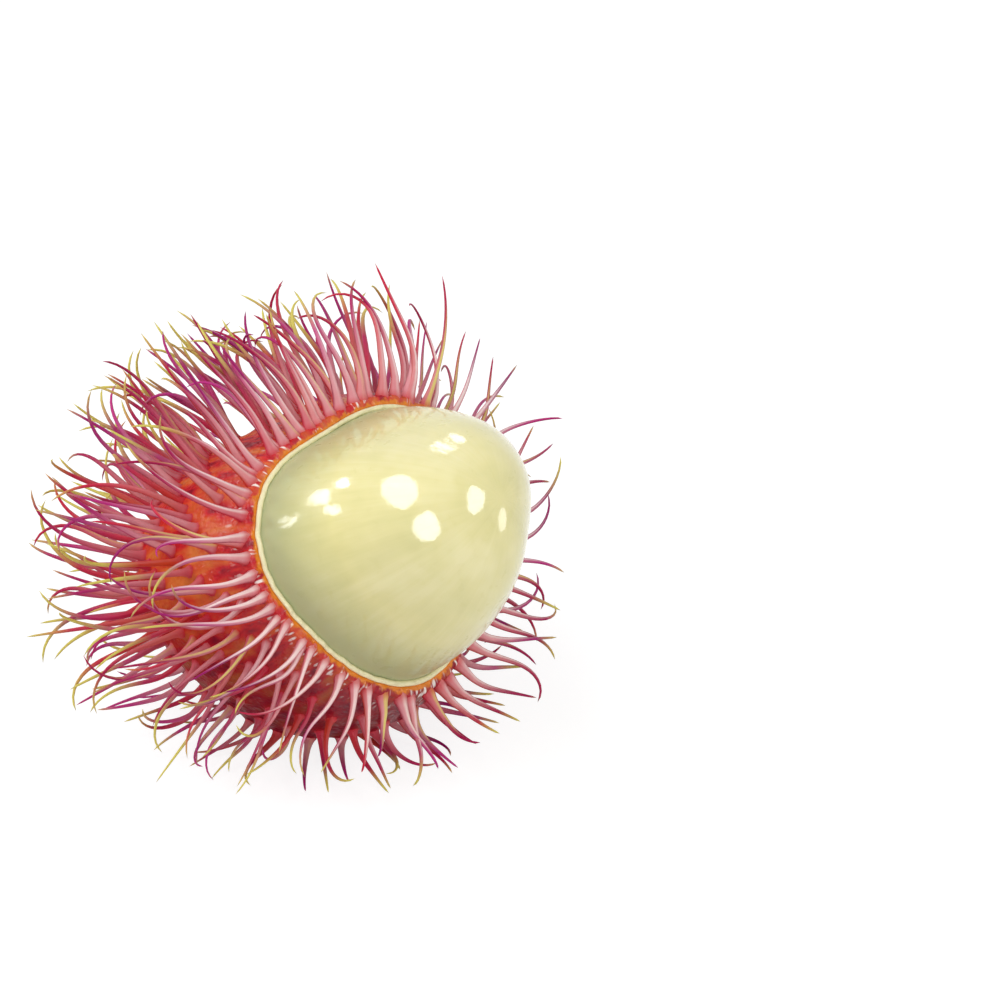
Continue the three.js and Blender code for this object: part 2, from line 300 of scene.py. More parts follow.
def keep_out_of_fruit(point):
    """The point, moved straight out from the fruit's middle if it lies inside the fruit or too near it."""
    offset = point - CENTRE
    along = offset.dot(FORWARD)
    angle = math.atan2(offset.dot(ACROSS), offset.dot(UPWARD))
    radial = (offset - FORWARD * along).length
    reach = PEEL_STEM_LENGTH if along < 0 else FLESH_TIP_LENGTH + FLESH_INSET
    share = along / reach
    width = PEEL_HALF_WIDTH * (1 - TAPER * share) * float(lobes(angle))
    depth = math.sqrt(abs(share) ** FULLNESS + (radial / width) ** 2)
    least = 1 + BODY_CLEARANCE
    return CENTRE + offset * (least / depth) if depth < least else point


def spine_line(along, angle, draw):
    """The line that a spine follows, as its solid does: out of the skin, swept back, hooked at the tip."""
    point, out, back = skin_at(along, angle)
    side = out.cross(back)
    free = smoothstep(out.z, STUNTED_RISE, FREE_RISE)
    grown = blend(STUNTED_SHARE, 1, free)
    length = grown * (SPINE_LENGTH + SPINE_LENGTH_SPREAD * either_way(draw))
    root_lean = ROOT_LEAN * either_way(draw)
    sweep_lean = SWEEP_LEAN * either_way(draw)
    curl_turn = 2 * math.pi * next(draw)
    curl = CURL * next(draw) ** CURL_RARITY

    aside = Vector((point.x, point.y, 0)).normalized()
    start = (out + side * root_lean).normalized()
    towards_scar = FREE_BACK * free * float(egg_radius(along)) / PEEL_HALF_WIDTH
    sweep = out * blend(STUNTED_OUT, FREE_OUT, free) + back * towards_scar + UP * FREE_LIFT * free
    sweep = (sweep + aside * STUNTED_ASIDE * (1 - free) + side * sweep_lean).normalized()
    hook = side * math.cos(curl_turn) + UP * math.sin(curl_turn)

    at = point.copy()
    line = [point - out * SPINE_ROOT_DEPTH, at.copy()]
    step = length / (SPINE_STEPS - 1)
    for i in range(2, SPINE_STEPS + 1):
        share = i / SPINE_STEPS
        direction = start.lerp(sweep, smoothstep(share, SWEEP_START, SWEEP_END)).normalized()
        hooked = (hook - direction * hook.dot(direction)).normalized()
        bend = curl * (max(0, share - CURL_START) / (1 - CURL_START)) ** 2
        direction = direction * math.cos(bend) + hooked * math.sin(bend)
        floor = blend(SPINE_RADIUS, SPINE_TIP_RADIUS, share) + FLOOR_GAP
        height = clamp((at.z - floor) / FLOOR_ZONE)
        direction += aside * FLOOR_PUSH * (1 - height)
        if direction.z < 0:
            direction.z *= height
        at = keep_out_of_fruit(at + direction.normalized() * step)
        at.z = max(at.z, floor)
        line.append(at.copy())
    return line


def spiral_alongs():
    """How far along the fruit the spiral's spines stand, each with the same area of peel round it."""
    start = RIM_HEIGHT - RIM_SPINE_SETBACK - SPIRAL_START
    turn = np.linspace(0, math.pi / 2, AREA_BANDS + 1)
    along = (start + PEEL_STEM_LENGTH) * (1 - np.sin(turn)) - PEEL_STEM_LENGTH
    radius = egg_radius(along)
    slant = np.hypot(np.diff(radius), np.diff(along))
    area = np.concatenate([[0], np.cumsum((radius[1:] + radius[:-1]) * slant)])
    wanted = (np.arange(SPIRAL_SPINES) + 0.5) * area[-1] / SPIRAL_SPINES
    alongs = along[np.searchsorted(area, wanted)]
    return alongs[egg_radius(alongs) > SCAR_CLEARANCE]


def clear_of_flat_spot(root):
    return skin_at(*root)[0].length > FLAT_SPOT_CLEARANCE


def solid_roots():
    """Where the solid's own spines grow."""
    draw = number_stream(RIM_SEED)
    roots = []
    for i in range(RIM_SPINES):
        angle = 2 * math.pi * (i + RIM_SPINE_JITTER * next(draw)) / RIM_SPINES
        roots.append((RIM_HEIGHT - RIM_SPINE_SETBACK + float(rim_wave(angle)), angle))
    roots += [(float(along), i * GOLDEN_ANGLE) for i, along in enumerate(spiral_alongs())]
    return [root for root in roots if clear_of_flat_spot(root)]


BETWEEN_ALL_FROM = -14  # forward of here every gap has a spine, and behind it every other gap
BETWEEN_LEAST_RISE = -0.35  # and none grows where the skin faces further down than this
BETWEEN_SETBACK = 1.5 * RIM_SPINE_SETBACK


def between_roots():
    """Where more spines grow than the solid has: between its own, along the cut edge and the spiral."""
    draw = number_stream(BETWEEN_RIM_SEED)
    roots = []
    for i in range(0, RIM_SPINES, 2):
        angle = 2 * math.pi * (i + 0.5 + RIM_SPINE_JITTER * next(draw)) / RIM_SPINES
        roots.append((RIM_HEIGHT - BETWEEN_SETBACK + float(rim_wave(angle)), angle))
    alongs = spiral_alongs()
    for i, along in enumerate((alongs[1:] + alongs[:-1]) / 2):
        if along > BETWEEN_ALL_FROM or i % 2:
            roots.append((float(along), (i + 0.5) * GOLDEN_ANGLE))
    return [root for root in roots if skin_at(*root)[1].z > BETWEEN_LEAST_RISE]


def smooth_line(line, place):
    """Points on a soft curve through a line's points, each at its `place`, counted in the line's steps."""
    knots = np.array(line)
    ends = np.vstack([2 * knots[0] - knots[1], knots, 2 * knots[-1] - knots[-2]])
    index = np.minimum(place.astype(int), len(knots) - 2)
    t = (place - index)[:, None]
    a, b, c, d = (ends[index + k] for k in range(4))
    curved = (2 * a - 5 * b + 4 * c - d) * t**2 + (3 * (b - c) + d - a) * t**3
    return (2 * b + (c - a) * t + curved) / 2


# The drawn spines are tubes round the same lines, finer than the solid's. Radii are in millimetres, and
# places and reaches along a spine are shares of its length.
SPINE_SIDES = 8
ROOT_PLACES = (0, 0.7, 1.0, 1.1, 1.2, 1.32, 1.48, 1.7)  # rings, in steps of the line, close at the skin
BODY_RINGS = 15  # and evenly spread from there to the tip
RING_PLACES = np.append(ROOT_PLACES, np.linspace(2, SPINE_STEPS, BODY_RINGS + 1))
SPINE_RINGS = len(RING_PLACES) - 1
SPINE_WIDE = 1.15  # a spine is a little flattened
SPINE_DEEP = 0.85
TUBE_ROOT_SWELL = 0.15  # how much thicker a spine is where it leaves the skin
TUBE_ROOT_AT = 0.08
TUBE_ROOT_REACH = 0.07
ROOT_FLARE = 0.2  # how much wider it spreads where it meets the skin
ROOT_FLARE_AT = 0.1
ROOT_FLARE_REACH = 0.02
TUBE_RADIUS = 0.43
TUBE_TIP_RADIUS = 0.09


def tube_radius(share):
    swell = TUBE_ROOT_SWELL * math.exp(-(((share - TUBE_ROOT_AT) / TUBE_ROOT_REACH) ** 2))
    flare = ROOT_FLARE * math.exp(-max(0, share - ROOT_FLARE_AT) / ROOT_FLARE_REACH)
    return swell + flare + blend(TUBE_RADIUS, TUBE_TIP_RADIUS, share)


PAINTED_LIGHT_SIDE = (FORWARD + UP * 0.5).normalized()  # spines get a painted highlight, a paler colour, where they face this way
FIRST_WIDE = (0.0, 1.0, 1.0)  # the way a spine's wide side faces, before it is turned square to the line


def spine_tube(line):
    """Rings of vertices round a spine's line, one more at each end, and how far each one's side faces the
    painted light.
    """
    points = smooth_line(line, RING_PLACES)
    runs = np.gradient(points, axis=0)
    runs /= np.linalg.norm(runs, axis=1, keepdims=True)
    turns = 2 * math.pi * np.arange(SPINE_SIDES) / SPINE_SIDES
    wide = np.array(FIRST_WIDE)
    rings = []
    lit_side = []
    for i in range(SPINE_RINGS):
        wide -= runs[i] * wide.dot(runs[i])
        wide /= np.linalg.norm(wide)
        deep = np.cross(runs[i], wide)
        oval = np.outer(np.cos(turns) * SPINE_WIDE, wide) + np.outer(np.sin(turns) * SPINE_DEEP, deep)
        rings.append(points[i] + tube_radius(RING_PLACES[i] / SPINE_STEPS) * oval)
        lit_side.append(oval @ np.array(PAINTED_LIGHT_SIDE))
    return np.vstack(rings + [points[:1], points[-1:]]), np.append(np.concatenate(lit_side), [0, 0])


NEAR_RIM_FROM = 7  # spines this far behind the cut start to pale
NEAR_RIM_FULL = 2  # and those this near are palest


def spine_piece(name, roots, draw, material):
    """All the spines that grow from `roots`, in one mesh, each with its own tint and strip of UV map."""
    tubes, lit_side = zip(*(spine_tube(spine_line(along, angle, draw)) for along, angle in roots))
    size = SPINE_SIDES * SPINE_RINGS + 2
    one = lathe_faces(SPINE_RINGS, SPINE_SIDES)
    faces = [tuple(corner + k * size for corner in face) for k in range(len(tubes)) for face in one]
    share = np.append(np.repeat(RING_PLACES[:-1] / SPINE_STEPS, SPINE_SIDES), [0, 1])
    tints = number_stream(len(roots))
    tint, tip = (np.repeat([next(tints) for _ in tubes], size) for _ in range(2))
    pale_from, pale_full = RIM_HEIGHT - NEAR_RIM_FROM, RIM_HEIGHT - NEAR_RIM_FULL
    near_rim = [smoothstep(along, pale_from, pale_full) for along, _ in roots]
    attributes = {
        "share": np.tile(share, len(tubes)),
        "lit_side": np.concatenate(lit_side),
        "tint": tint,
        "tip": tip,
        "near_rim": np.repeat(near_rim, size),
    }
    made = mesh_object(name, np.vstack(tubes), faces, material, attributes)
    unwrap_strips(made.data, len(tubes))
    return made


STRIP_MARGIN = 0.06  # shares of a strip's square of the UV map
ROOT_CAP = 0.02  # how far the hidden root end reaches into the margin


def unwrap_strips(mesh, tubes):
    """One strip of the UV map for each spine, so that none shares another's colours when they are baked."""
    columns = math.ceil(math.sqrt(tubes))
    levels = np.arange(SPINE_RINGS + 1) / SPINE_RINGS
    sides = [(side / SPINE_SIDES, (side + 1) / SPINE_SIDES) for side in range(SPINE_SIDES)]
    strip = []
    for low, high in zip(levels[:-2], levels[1:-1]):
        for left, right in sides:
            strip += [(left, low), (right, low), (right, high), (left, high)]
    for left, right in sides:
        strip += [(right, 0), (left, 0), ((left + right) / 2, -ROOT_CAP)]
    for left, right in sides:
        strip += [(left, levels[-2]), (right, levels[-2]), ((left + right) / 2, 1)]
    strip = STRIP_MARGIN / 2 + (1 - STRIP_MARGIN) * np.array(strip)
    cells = np.array([(k % columns, k // columns) for k in range(tubes)])
    uv = (cells[:, None, :] + strip[None, :, :]) / columns
    layer = mesh.uv_layers.new(name="OFBake")
    layer.data.foreach_set("uv", uv.astype(np.float32).ravel())


# ---------------------------------------------------------------- materials


def srgb(red, green, blue):
    """A colour given from 0 to 255 on screen, as the numbers that a shader takes."""
    def linear(level):
        share = level / 255
        return share / 12.92 if share <= 0.04045 else ((share + 0.055) / 1.055) ** 2.4

    return (linear(red), linear(green), linear(blue), 1.0)


# The colour sockets of a Mix node, by number because its other kinds of socket have the same names.
MIX_SHARE = 0
MIX_A = 6
MIX_B = 7
MIX_RESULT = 2


class Surface:
    """A material with a Principled shader, and short ways to add the nodes that feed it."""

    def __init__(self, name, **fixed):
        self.material = bpy.data.materials.new(name)
        self.material.use_nodes = True
        self.tree = self.material.node_tree
        self.shader = self.tree.nodes["Principled BSDF"]
        for key, value in fixed.items():
            self.shader.inputs[key.replace("_", " ")].default_value = value

    def node(self, kind, inputs=None, **settings):
        made = self.tree.nodes.new("ShaderNode" + kind)
        for key, value in settings.items():
            setattr(made, key, value)
        for key, value in (inputs or {}).items():
            self.feed(made.inputs[key], value)
        return made

    def feed(self, socket, value):
        if isinstance(value, bpy.types.NodeSocket):
            self.tree.links.new(value, socket)
        else:
            socket.default_value = value

    def place(self):
        return self.node("TexCoord").outputs["Object"]

    def attribute(self, name, field="Fac"):
        return self.node("Attribute", attribute_name=name).outputs[field]

    def speckle(self, size_mm, detail=2.0, vector=None, roughness=0.5):
        """Noise whose blotches are about `size_mm` across, from 0 to 1."""
        inputs = {
            "Vector": vector or self.place(),
            "Scale": 1 / (size_mm * MM),
            "Detail": detail,
            "Roughness": roughness,
        }
        return self.node("TexNoise", inputs).outputs["Fac"]

    def ramp(self, share, stops):
        """Numbers or colours by place along a scale, given as (place, value) pairs."""
        made = self.node("ValToRGB", {"Fac": share})
        elements = made.color_ramp.elements
        while len(elements) < len(stops):
            elements.new(0.5)
        for element, (place, value) in zip(elements, stops):
            element.position = place
            element.color = value if isinstance(value, tuple) else (value, value, value, 1)
        return made.outputs["Color"]

    def mix(self, share, a, b, mode="MIX"):
        made = self.node("Mix", data_type="RGBA", blend_type=mode)
        self.feed(made.inputs[MIX_SHARE], share)
        self.feed(made.inputs[MIX_A], a)
        self.feed(made.inputs[MIX_B], b)
        return made.outputs[MIX_RESULT]

    def maths(self, operation, a, b=0.0):
        made = self.node("Math", operation=operation)
        self.feed(made.inputs[0], a)
        self.feed(made.inputs[1], b)
        return made.outputs[0]

    def spread(self, value, low, high, to_low=0.0, to_high=1.0):
        """Maps `value` from low..high to to_low..to_high, and stops at both ends."""
        inputs = {"Value": value, "From Min": low, "From Max": high, "To Min": to_low, "To Max": to_high}
        return self.node("MapRange", inputs).outputs["Result"]

    def bump(self, height, depth_mm, under=None):
        inputs = {"Height": height, "Distance": depth_mm * MM, "Strength": 1.0}
        if under is not None:
            inputs["Normal"] = under
        return self.node("Bump", inputs).outputs["Normal"]

    def finish(self, **links):
        for key, value in links.items():
            self.feed(self.shader.inputs[key.replace("_", " ")], value)
        return self.material


CREAM = srgb(246, 237, 192)
ORANGE = srgb(228, 130, 32)
DULL_ORANGE = srgb(220, 120, 56)
RED = srgb(202, 32, 42)
ORANGE_RED = srgb(212, 78, 44)
DARK_RED = srgb(138, 14, 38)
MAROON = srgb(114, 14, 38)
SCARLET = srgb(202, 38, 68)
CRIMSON = srgb(164, 12, 74)
MAGENTA = srgb(190, 46, 128)
PURPLE = srgb(150, 14, 96)
ROSE = srgb(218, 116, 122)
MAUVE = srgb(228, 162, 168)
HIGHLIGHT_MAUVE = srgb(246, 220, 218)
GLINT_WHITE = srgb(250, 240, 234)
OLIVE = srgb(214, 200, 98)
HIGHLIGHT_OLIVE = srgb(226, 208, 122)
FLESH_DEEP = srgb(221, 213, 140)
FLESH_MIDDLE = srgb(230, 221, 150)
FLESH_PALE = srgb(238, 229, 166)
GREY_GREEN = srgb(171, 180, 137)
PALE_GREY_GREEN = srgb(192, 198, 152)
DARK_BARK = srgb(74, 46, 30)
BARK = srgb(128, 88, 54)
PALE_BARK = srgb(176, 140, 92)
WHITE = (1, 1, 1, 1)


# Distances on the peel, in millimetres. Those from the edge are walked from the top of its bead.
SHADE_FULL = 8  # up to this height the skin is most maroon, partly painted shade on the underside and partly its own deeper colour
SHADE_ENDS = 24  # and above this one it isn't
# The white flecks near the cut are painted glints, as a wet bumpy skin would show.
GLINT_SIZE = 0.6
GLINTS_FADE_FROM = 2.5
GLINTS_END = 5.5
BEAD_END = 0.55
BEAD_FADE_END = 0.75
BAND_END = 1.1
BAND_FADE_END = 1.5
BAND_WANDER = 0.4
GLOSS_FADE_FROM = 5.0
GLOSS_END = 12.0
PORE_SIZE = 0.75


def skin_material():
    look = Surface("peel skin", Coat_Roughness=0.15, Coat_IOR=1.6, Specular_IOR_Level=0.05)
    edge = look.attribute("edge")
    flow = look.attribute("flow", "Vector")
    patches = look.ramp(
        look.speckle(2.2, detail=3.0, vector=flow),
        [(0.35, DARK_RED), (0.45, RED), (0.54, ORANGE_RED), (0.67, DULL_ORANGE)],
    )
    # Maroon lower down: partly painted shade on the underside, partly a deeper colour of the peel there.
    height = look.node("SeparateXYZ", {"Vector": look.place()}).outputs["Z"]
    patches = look.mix(look.spread(height, SHADE_FULL * MM, SHADE_ENDS * MM, 0.85, 0.0), patches, MAROON)
    patches = look.mix(look.maths("MULTIPLY", look.attribute("root"), 0.7), patches, RED)

    # Painted glints: small white flecks near the cut, where light would catch wet bumps.
    cells = look.node("TexVoronoi", {"Vector": flow, "Scale": 1 / (GLINT_SIZE * MM)})
    painted_glints = look.spread(cells.outputs["Distance"], 0.22, 0.4, 1.0, 0.0)
    chosen = look.spread(look.speckle(1.3, detail=1.0), 0.47, 0.53)
    near = look.spread(edge, GLINTS_FADE_FROM, GLINTS_END, 0.95, 0.0)
    painted_glints = look.maths("MULTIPLY", look.maths("MULTIPLY", painted_glints, chosen), near)
    patches = look.mix(painted_glints, patches, GLINT_WHITE)

    wander = look.spread(look.speckle(1.1, detail=3.0), 0.3, 0.7, -BAND_WANDER, BAND_WANDER)
    past_band = look.spread(look.maths("ADD", edge, wander), BAND_END, BAND_FADE_END)
    banded = look.mix(past_band, ORANGE, patches)
    colour = look.mix(look.spread(edge, BEAD_END, BEAD_FADE_END), CREAM, banded)

    pores = look.node("TexVoronoi", {"Vector": look.place(), "Scale": 1 / (PORE_SIZE * MM)})
    dimples = look.bump(look.speckle(1.2, detail=3.0), 0.25)
    grain = look.bump(pores.outputs["Distance"], 0.12, under=dimples)
    rough = look.spread(look.speckle(0.9), 0.3, 0.7, 0.4, 0.65)
    gloss = look.spread(edge, GLOSS_FADE_FROM, GLOSS_END, 0.35, 0.0)
    return look.finish(
        Base_Color=colour, Roughness=rough, Normal=grain, Coat_Normal=grain, Coat_Weight=gloss
    )


# Places along a spine, as shares of its length.
COLLAR_FROM = 0.09
COLLAR_END = 0.12
RED_ROOT_FROM = 0.06
RED_ROOT_END = 0.2
UPPER_PART_FROM = 0.25
UPPER_PART_FULL = 0.7
HIGHLIGHT_FADE_FROM = 0.45
HIGHLIGHT_END = 0.85
SOONEST_DRY = 0.52  # where the driest spine turns yellow-green
LATEST_DRY = 1.16  # past the tip, so that not all do
RIM_DRY_DELAY = 0.16  # how much further out it is at the cut
DRY_FADE_BEFORE = 0.12
DRY_FADE_AFTER = 0.16


def spine_material():
    """Root, middle and tip each have their own colours, and `tint` and `tip` say how each spine differs."""
    look = Surface("spine", Coat_Weight=0.12, Coat_Roughness=0.15, Specular_IOR_Level=0.12)
    share = look.attribute("share")
    tint = look.attribute("tint")
    tip = look.attribute("tip")
    near_rim = look.attribute("near_rim")
    lit_side = look.attribute("lit_side")
    tip_or_rim = look.maths("ADD", tip, near_rim)
    lower_part = look.ramp(
        tint,
        [(0.1, SCARLET), (0.3, ORANGE_RED), (0.5, SCARLET), (0.62, CRIMSON), (0.8, ROSE), (0.95, SCARLET)],
    )
    upper_part = look.ramp(
        tint,
        [(0.1, CRIMSON), (0.24, SCARLET), (0.38, CRIMSON), (0.62, MAGENTA), (0.95, PURPLE)],
    )
    pinkness = look.spread(tip_or_rim, 0.4, 0.7, 0.0, 0.9)
    pinkness = look.maths("MULTIPLY", pinkness, look.spread(tint, 0.0, 0.5, 0.5, 1.0))
    # Mauve only on the side facing the painted light: partly the spine's own mauve, partly painted light.
    pinkness = look.maths("MULTIPLY", pinkness, look.spread(lit_side, -0.4, 0.3))
    lower_part = look.mix(pinkness, lower_part, MAUVE)
    body = look.mix(look.spread(share, UPPER_PART_FROM, UPPER_PART_FULL), lower_part, upper_part)

    # Painted highlight: a pale streak on each spine's side that faces the painted light, stronger near the
    # cut, fading towards the tip.
    painted_highlight = look.spread(lit_side, 0.72, 0.95)
    strength = look.spread(tip_or_rim, 0.5, 1.3, 0.15, 0.95)
    fade = look.spread(share, HIGHLIGHT_FADE_FROM, HIGHLIGHT_END, 1.0, 0.0)
    streak = look.maths("MULTIPLY", look.maths("MULTIPLY", painted_highlight, strength), fade)
    highlight_colour = look.mix(near_rim, MAUVE, HIGHLIGHT_MAUVE)
    highlight_colour = look.mix(look.spread(tip, 0.8, 0.84), highlight_colour, HIGHLIGHT_OLIVE)
    body = look.mix(streak, body, highlight_colour)

    root = look.spread(share, RED_ROOT_FROM, RED_ROOT_END, 0.7, 0.0)
    root = look.maths("MULTIPLY", root, look.spread(near_rim, 0, 1, 1, 0.4))
    body = look.mix(root, body, SCARLET)
    collar = look.spread(share, COLLAR_FROM, COLLAR_END, 1.0, 0.0)
    collar = look.maths("MULTIPLY", collar, look.spread(near_rim, 0, 1, 0.8, 0.6))
    body = look.mix(collar, body, RED)

    dry_from = look.spread(tip, 0.0, 1.0, SOONEST_DRY, LATEST_DRY)
    dry_from = look.maths("ADD", dry_from, look.spread(near_rim, 0, 1, 0, RIM_DRY_DELAY))
    dry = look.spread(look.maths("SUBTRACT", share, dry_from), -DRY_FADE_BEFORE, DRY_FADE_AFTER)
    colour = look.mix(dry, body, OLIVE)
    fibres = look.bump(look.speckle(0.35, detail=3.0), 0.05)
    rough = look.spread(look.speckle(0.7), 0.3, 0.7, 0.32, 0.5)
    return look.finish(Base_Color=colour, Roughness=rough, Normal=fibres)


# Places along the flesh, in millimetres forward of the cut.
NARROW_BAND_FROM = 0.8
NARROW_BAND_END = 3.5
WIDE_BAND_FROM = 1.5
WIDE_BAND_END = 10
DULL_UP_TO = 1.5
WET_FROM = 15


def flesh_material():
    look = Surface(
        "flesh",
        Coat_Roughness=0.1,
        Coat_IOR=2.0,
        Specular_IOR_Level=0.1,
        Subsurface_Weight=0.25,
        Subsurface_Radius=(1.0, 0.85, 0.5),
        Subsurface_Scale=2.5 * MM,
    )
    along = look.attribute("along")
    streaks = look.speckle(1.6, detail=3.0, vector=look.attribute("streak", "Vector"), roughness=0.65)
    cloud = look.speckle(6.0)
    streaky = look.spread(along, RIM_HEIGHT, FLESH_TIP_LENGTH - 2, 0.75, 0.2)
    tone = look.mix(streaky, cloud, streaks)
    body = look.ramp(tone, [(0.34, FLESH_DEEP), (0.5, FLESH_MIDDLE), (0.66, FLESH_PALE)])
    # Grey-green bands next to the cut: partly the flesh's own colour there, partly painted shade of the
    # peel's rim.
    wide_rim_shade = look.spread(along, RIM_HEIGHT + WIDE_BAND_FROM, RIM_HEIGHT + WIDE_BAND_END, 0.85, 0.0)
    colour = look.mix(wide_rim_shade, body, GREY_GREEN)
    narrow_rim_shade = look.spread(along, RIM_HEIGHT + NARROW_BAND_FROM, RIM_HEIGHT + NARROW_BAND_END, 0.8, 0.0)
    colour = look.mix(narrow_rim_shade, colour, PALE_GREY_GREEN)
    soft = look.bump(look.speckle(3.0, detail=0.0), 0.04)
    ripples = look.bump(look.speckle(0.8), 0.01, under=look.bump(look.speckle(2.6, detail=1.0), 0.05))
    rough = look.spread(look.speckle(1.5), 0.3, 0.7, 0.26, 0.38)
    wet = look.spread(along, RIM_HEIGHT + DULL_UP_TO, RIM_HEIGHT + WET_FROM, 0.03, 1.0)
    return look.finish(
        Base_Color=colour, Roughness=rough, Normal=soft, Coat_Normal=ripples, Coat_Weight=wet
    )


def scar_material():
    look = Surface("stem scar", Roughness=0.8)
    bark = look.speckle(0.5, detail=4.0)
    colour = look.ramp(bark, [(0.3, DARK_BARK), (0.5, BARK), (0.7, PALE_BARK)])
    return look.finish(Base_Color=colour, Normal=look.bump(bark, 0.2))


# ---------------------------------------------------------------- peel and flesh

SKIN_AROUND = 360
SKIN_RINGS = 180
EDGE_RINGS = 8
BEAD_RINGS = 8
LINING_RINGS = 12
BEAD_RADIUS = 0.36  # the pale bead of pith along the lip, which touches the flesh
CUT_ROUGHNESS = ((0.06, 19, 0), (0.05, 31, 1), (0.04, 53, 0))  # fine waves on top of the cut's own
ROOT_SWELL = 0.4  # how far the skin rises round a spine's root
ROOT_SWELL_REACH = 0.85
FLOW_STRETCH = 0.4  # the skin's patches are longer along the fruit than across it


def peel_profile():
    """Rings from the stem end over the skin, round the cut edge and its bead, and back down the lining.

    It also gives how many millimetres outside the bead's top each ring lies, 0 for those past it, and how
    many of the rings are skin.
    """
    last = math.acos(-(RIM_HEIGHT - RIM_ROUNDING) / (FLESH_TIP_LENGTH + FLESH_INSET))
    skin = egg_alongs(np.linspace(0, last, SKIN_RINGS + 1)[1:], 0)
    turn = np.linspace(0, math.pi / 2, EDGE_RINGS + 1)[1:]
    outer = np.concatenate([skin, RIM_HEIGHT - RIM_ROUNDING * (1 - np.sin(turn))])
    bead_turn = np.linspace(0, math.pi, BEAD_RINGS)
    bead = RIM_HEIGHT + BEAD_RADIUS * np.sin(bead_turn)
    bead_radius = RIM_INNER + BEAD_RADIUS * np.cos(bead_turn)
    lining_last = math.acos(-RIM_HEIGHT / (FLESH_TIP_LENGTH + FLESH_INSET - PEEL_WALL))
    lining = egg_alongs(np.linspace(lining_last, 0, LINING_RINGS + 1)[1:-1], PEEL_WALL)
    along = np.concatenate([outer, bead, lining])
    radius = np.concatenate([skin_radius(outer), bead_radius, egg_radius(lining, PEEL_WALL)])
    walked = np.concatenate([[0], np.cumsum(np.hypot(np.diff(along), np.diff(radius)))])
    outside = np.maximum(walked[len(outer) + BEAD_RINGS // 2] - walked, 0)
    return along, radius, outside, len(outer)


def swell_round(points, normals, roots):
    """Raises the skin round each root, and says how near each vertex is to one, from 0 to 1."""
    near = np.zeros(len(points))
    for along, angle in roots:
        place = np.array(skin_at(along, angle)[0])
        reach = ((points - place) ** 2).sum(1) / ROOT_SWELL_REACH**2
        near = np.maximum(near, np.exp(-reach))
    return points + normals * (ROOT_SWELL * near)[:, None], near


def stretched_places(turns, along, radius, stretch):
    """Places in metres on a tube, shortened along it, so that noise read there is drawn out lengthwise."""
    return np.stack([np.cos(turns) * radius, np.sin(turns) * radius, along * stretch], 1) * MM


def peel_piece(roots, material):
    along, radius, outside, outer = peel_profile()
    angle = np.linspace(0, 2 * math.pi, SKIN_AROUND, endpoint=False)[None, :]
    share = eased(np.clip((along - RIM_HEIGHT + RIM_WAVE_REACH) / RIM_WAVE_REACH, 0, 1))
    waved = along[:, None] + share[:, None] * (rim_wave(angle) + ripple(angle, CUT_ROUGHNESS))
    grid = fruit_points(np.broadcast_to(radius[:, None], waved.shape), waved, angle) + np.array(CENTRE)
    round_way = np.roll(grid, -1, 1) - np.roll(grid, 1, 1)
    normals = np.cross(round_way, -np.gradient(grid, axis=0))
    normals /= np.linalg.norm(normals, axis=2, keepdims=True)
    points = grid.reshape(-1, 3)
    skin_count = outer * SKIN_AROUND
    raised, near = swell_round(points[:skin_count], normals.reshape(-1, 3)[:skin_count], roots)
    points[:skin_count] = raised
    points[:, 2] = np.maximum(points[:, 2], 0)
    ends = [on_axis(-PEEL_STEM_LENGTH) + CENTRE, on_axis(PEEL_WALL - PEEL_STEM_LENGTH) + CENTRE]
    points = np.vstack([points, np.array(ends)])
    turns = np.append(np.tile(angle[0], len(along)), [0, 0])
    run = np.append(np.repeat(along, SKIN_AROUND), [along[0], along[0]])
    attributes = {
        "flow": stretched_places(turns, run, PEEL_HALF_WIDTH, FLOW_STRETCH),
        "edge": np.append(np.repeat(outside, SKIN_AROUND), [outside[0], 0]),
        "root": np.concatenate([near, np.zeros(len(points) - skin_count)]),
    }
    faces = fruit_faces(len(along), SKIN_AROUND)
    made = mesh_object("peel_skin", points, faces, material, attributes)
    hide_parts("peel")
    return made


FLESH_AROUND = 240
FLESH_RINGS = 160
FLESH_UNEVEN = 0.16
FLESH_UNEVEN_SIZE = 8
STREAK_RADIUS = 14  # the flesh's fibres are noise read round a tube of this radius
STREAK_STRETCH = 0.12


def flesh_piece(material):
    turn = np.linspace(0, math.pi, FLESH_RINGS + 2)
    along = egg_alongs(turn, FLESH_INSET)
    inner = along[1:-1, None]
    angle = np.linspace(0, 2 * math.pi, FLESH_AROUND, endpoint=False)[None, :]
    grid = fruit_points(egg_radius(inner, FLESH_INSET), inner, angle)
    points = grid.reshape(-1, 3)
    points = np.vstack([points, np.array([on_axis(along[0]), on_axis(along[-1])])])
    soft = np.array([noise.noise(Vector(point) / FLESH_UNEVEN_SIZE) for point in points])
    points *= 1 + (FLESH_UNEVEN * soft / PEEL_HALF_WIDTH)[:, None]
    along_each = np.append(np.repeat(along[1:-1], FLESH_AROUND), [along[0], along[-1]])
    turns = np.append(np.tile(angle[0], FLESH_RINGS), [0, 0])
    streak = stretched_places(turns, along_each, STREAK_RADIUS, STREAK_STRETCH)
    attributes = {"along": along_each, "streak": streak}
    faces = fruit_faces(FLESH_RINGS, FLESH_AROUND)
    made = mesh_object("flesh_ball", points + np.array(CENTRE), faces, material, attributes)
    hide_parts("flesh")
    return made


SCAR_AROUND = 48
SCAR_PROFILE = (  # radius, and how far forward of the stem end, from inside the peel to the pit
    (2.6, 0.9),
    (2.3, 0.1),
    (2.15, -0.45),
    (1.8, -0.68),
    (1.35, -0.5),
    (0.9, -0.3),
    (0.5, -0.45),
    (0.25, -0.2),
)
SCAR_PIT = -0.1
SCAR_ROUGHNESS = ((0.05, 5, 0), (0.03, 11, 0))


